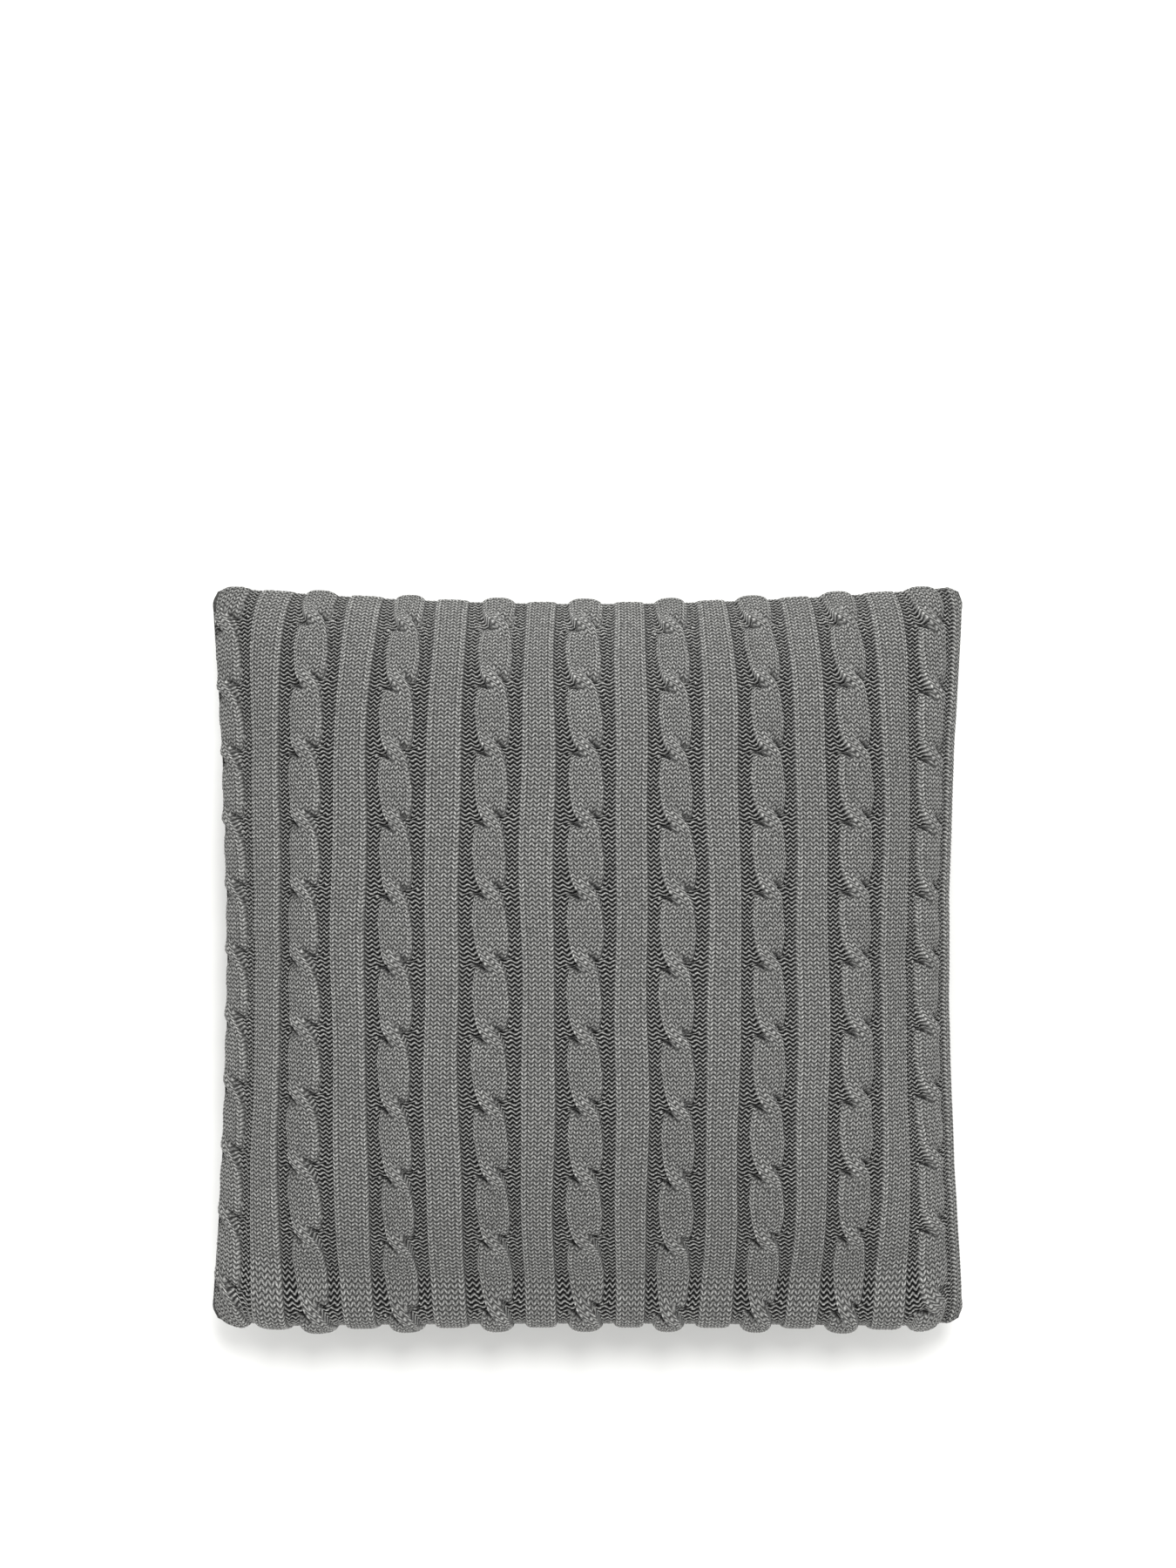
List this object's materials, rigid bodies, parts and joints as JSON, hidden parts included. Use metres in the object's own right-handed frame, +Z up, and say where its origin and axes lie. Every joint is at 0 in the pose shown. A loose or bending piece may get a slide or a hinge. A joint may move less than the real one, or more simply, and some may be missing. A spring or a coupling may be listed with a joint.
{
  "type": "throw pillow",
  "caption": "Square cable-knit throw cushion lying flat, with a zipped knitted cover over a filled cotton pad.",
  "frame": {"origin": "on the surface the cushion rests on, below the middle of its bounding box", "axes": "+Z up out of the cable-knit front; +Y towards the top edge of the knitted columns; the zip runs along the -Y edge"},
  "size_m": [0.457, 0.448, 0.145],
  "materials": {
    "knit_yarn": "matte",
    "overlock_thread": "matte",
    "zip_tape_cloth": "matte",
    "zip_plastic": "satin",
    "zip_metal": "satin",
    "label_cloth": "satin",
    "pad_cotton": "matte",
    "pad_fibre": "matte"
  },
  "bodies": {
    "cushion": {"knit_front_panel": "knit_yarn", "knit_back_panel": "knit_yarn", "left_seam_overlock": "overlock_thread", "right_seam_overlock": "overlock_thread", "top_seam_overlock": "overlock_thread", "care_label": "label_cloth", "zip_tape_upper": "zip_tape_cloth", "zip_tape_lower": "zip_tape_cloth", "zip_teeth_upper": "zip_plastic", "zip_teeth_lower": "zip_plastic", "zip_stitching_upper": "overlock_thread", "zip_stitching_lower": "overlock_thread", "zip_top_stops": "zip_metal", "zip_bottom_stop": "zip_metal", "pad_case_front": "pad_cotton", "pad_case_back": "pad_cotton", "pad_case_seam": "pad_cotton", "pad_label": "label_cloth", "pad_filling": "pad_fibre"},
    "slider": {"zip_slider": "zip_metal"},
    "pull_tab": {"zip_pull_tab": "zip_metal"}
  },
  "joints": [
    {"name": "slider_slide", "type": "slide", "parent": "cushion", "child": "slider", "axis": [-1, 0, 0], "range_m": [0, 0.336]},
    {"name": "pull_tab_hinge", "type": "hinge", "parent": "slider", "child": "pull_tab", "pos_m": [0.17, -0.22245, 0.066], "axis": [0, 0, 1], "range_deg": [0, 160]}
  ]
}
